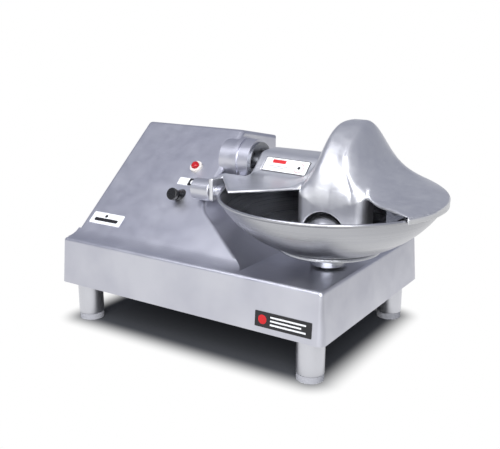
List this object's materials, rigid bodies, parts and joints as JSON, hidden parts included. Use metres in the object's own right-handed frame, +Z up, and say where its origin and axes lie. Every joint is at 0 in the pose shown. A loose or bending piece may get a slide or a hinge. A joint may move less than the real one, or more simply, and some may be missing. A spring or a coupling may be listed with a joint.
{
  "type": "bowl cutter",
  "caption": "Bench meat bowl cutter: low cast base on round legs, wedge motor housing with sloping panel, turning bowl, domed knife cover and clamp knob.",
  "frame": {"origin": "on the floor below the middle of the whole machine's box", "axes": "+X right along the front, +Y to the back, +Z up; the operator stands at -Y"},
  "size_m": [0.665, 0.444, 0.3783],
  "materials": {
    "cast_aluminium": "satin",
    "leg_aluminium": "brushed",
    "foot_plastic": "matt",
    "stainless": "spun and brushed",
    "steel": "machined",
    "bronze": "machined",
    "belt_rubber": "matt",
    "black_plastic": "semi-matt",
    "pale_bezel": "smooth",
    "red_lens": "glossy, translucent",
    "pale_plate": "semi-gloss",
    "dark_plate": "semi-gloss"
  },
  "bodies": {
    "base": {"housing": "cast_aluminium", "gear_case": "cast_aluminium", "motor_mount": "cast_aluminium", "worm_pillow_block": "cast_aluminium", "motor_front_bell": "cast_aluminium", "motor_back_bell": "cast_aluminium", "leg_front_left": "leg_aluminium", "leg_front_right": "leg_aluminium", "leg_back_left": "leg_aluminium", "leg_back_right": "leg_aluminium", "feet": "foot_plastic", "leg_bolts": "steel", "bottom_cover_screws": "steel", "bottom_cover": "steel", "motor_shell": "steel", "motor_stator": "steel", "motor_bearings": "steel", "motor_mount_screws": "steel", "knife_shaft_rear_bearing": "steel", "knife_shaft_sleeve": "steel", "worm_bearings": "steel", "spindle_bearings": "steel", "hinge_pin": "steel", "clamp_stud": "steel", "knife_shaft_front_bush": "bronze", "knife_belt": "belt_rubber", "worm_belt": "belt_rubber", "knife_shaft_seal": "belt_rubber", "spindle_seal": "belt_rubber", "switch_collar": "black_plastic", "switch_body": "black_plastic", "cable_gland": "black_plastic", "lamp_bezel": "pale_bezel", "lamp_lens": "red_lens", "badge_plate": "pale_plate", "on_off_plate": "pale_plate", "front_plate": "dark_plate"},
    "motor_rotor": {"motor_rotor": "steel", "motor_fan": "black_plastic", "motor_knife_pulley": "steel", "motor_worm_pulley": "steel"},
    "knife_spindle": {"knife_shaft": "steel", "knife_pulley": "steel", "knife_collar": "steel", "knife_left": "stainless", "knife_spacer": "steel", "knife_right": "stainless", "knife_nut": "steel"},
    "worm": {"worm_shaft": "steel", "worm_pulley": "steel"},
    "turntable": {"bowl_spindle": "steel", "worm_wheel": "bronze", "bowl_carrier": "stainless", "bowl": "stainless"},
    "cover": {"cover": "cast_aluminium", "scraper": "stainless", "scraper_screw": "steel", "label_plate": "pale_plate"},
    "clamp_knob": {"clamp_knob": "stainless"},
    "switch_knob": {"switch_knob": "black_plastic"}
  },
  "joints": [
    {"name": "motor_spin", "type": "hinge", "parent": "base", "child": "motor_rotor", "pos_m": [-0.2885, 0.09817, 0.195], "axis": [1, 0, 0], "continuous": true},
    {"name": "knife_spin", "type": "hinge", "parent": "base", "child": "knife_spindle", "pos_m": [-0.0395, 0.04517, 0.292], "axis": [1, 0, 0], "continuous": true},
    {"name": "worm_spin", "type": "hinge", "parent": "base", "child": "worm", "pos_m": [0.1497, 0.00647, 0.112], "axis": [1, 0, 0], "continuous": true},
    {"name": "bowl_spin", "type": "hinge", "parent": "base", "child": "turntable", "pos_m": [0.1497, -0.04353, 0.112], "axis": [0, 0, 1], "continuous": true},
    {"name": "cover_hinge", "type": "hinge", "parent": "base", "child": "cover", "pos_m": [0.0265, 0.15817, 0.262], "axis": [-1, 0, 0], "range_deg": [0, 95]},
    {"name": "clamp_turn", "type": "hinge", "parent": "base", "child": "clamp_knob", "pos_m": [-0.0775, -0.05583, 0.253], "axis": [1, 0, 0], "range_deg": [0, 360]},
    {"name": "switch_slide", "type": "slide", "parent": "base", "child": "switch_knob", "axis": [0, 0.9342, -0.3567], "range_m": [0, 0.005]}
  ],
  "couplings": [
    {"joint": "knife_spin", "follows": "motor_spin", "ratio": 1},
    {"joint": "worm_spin", "follows": "motor_spin", "ratio": 0.5},
    {"joint": "bowl_spin", "follows": "motor_spin", "ratio": 0.0125}
  ]
}
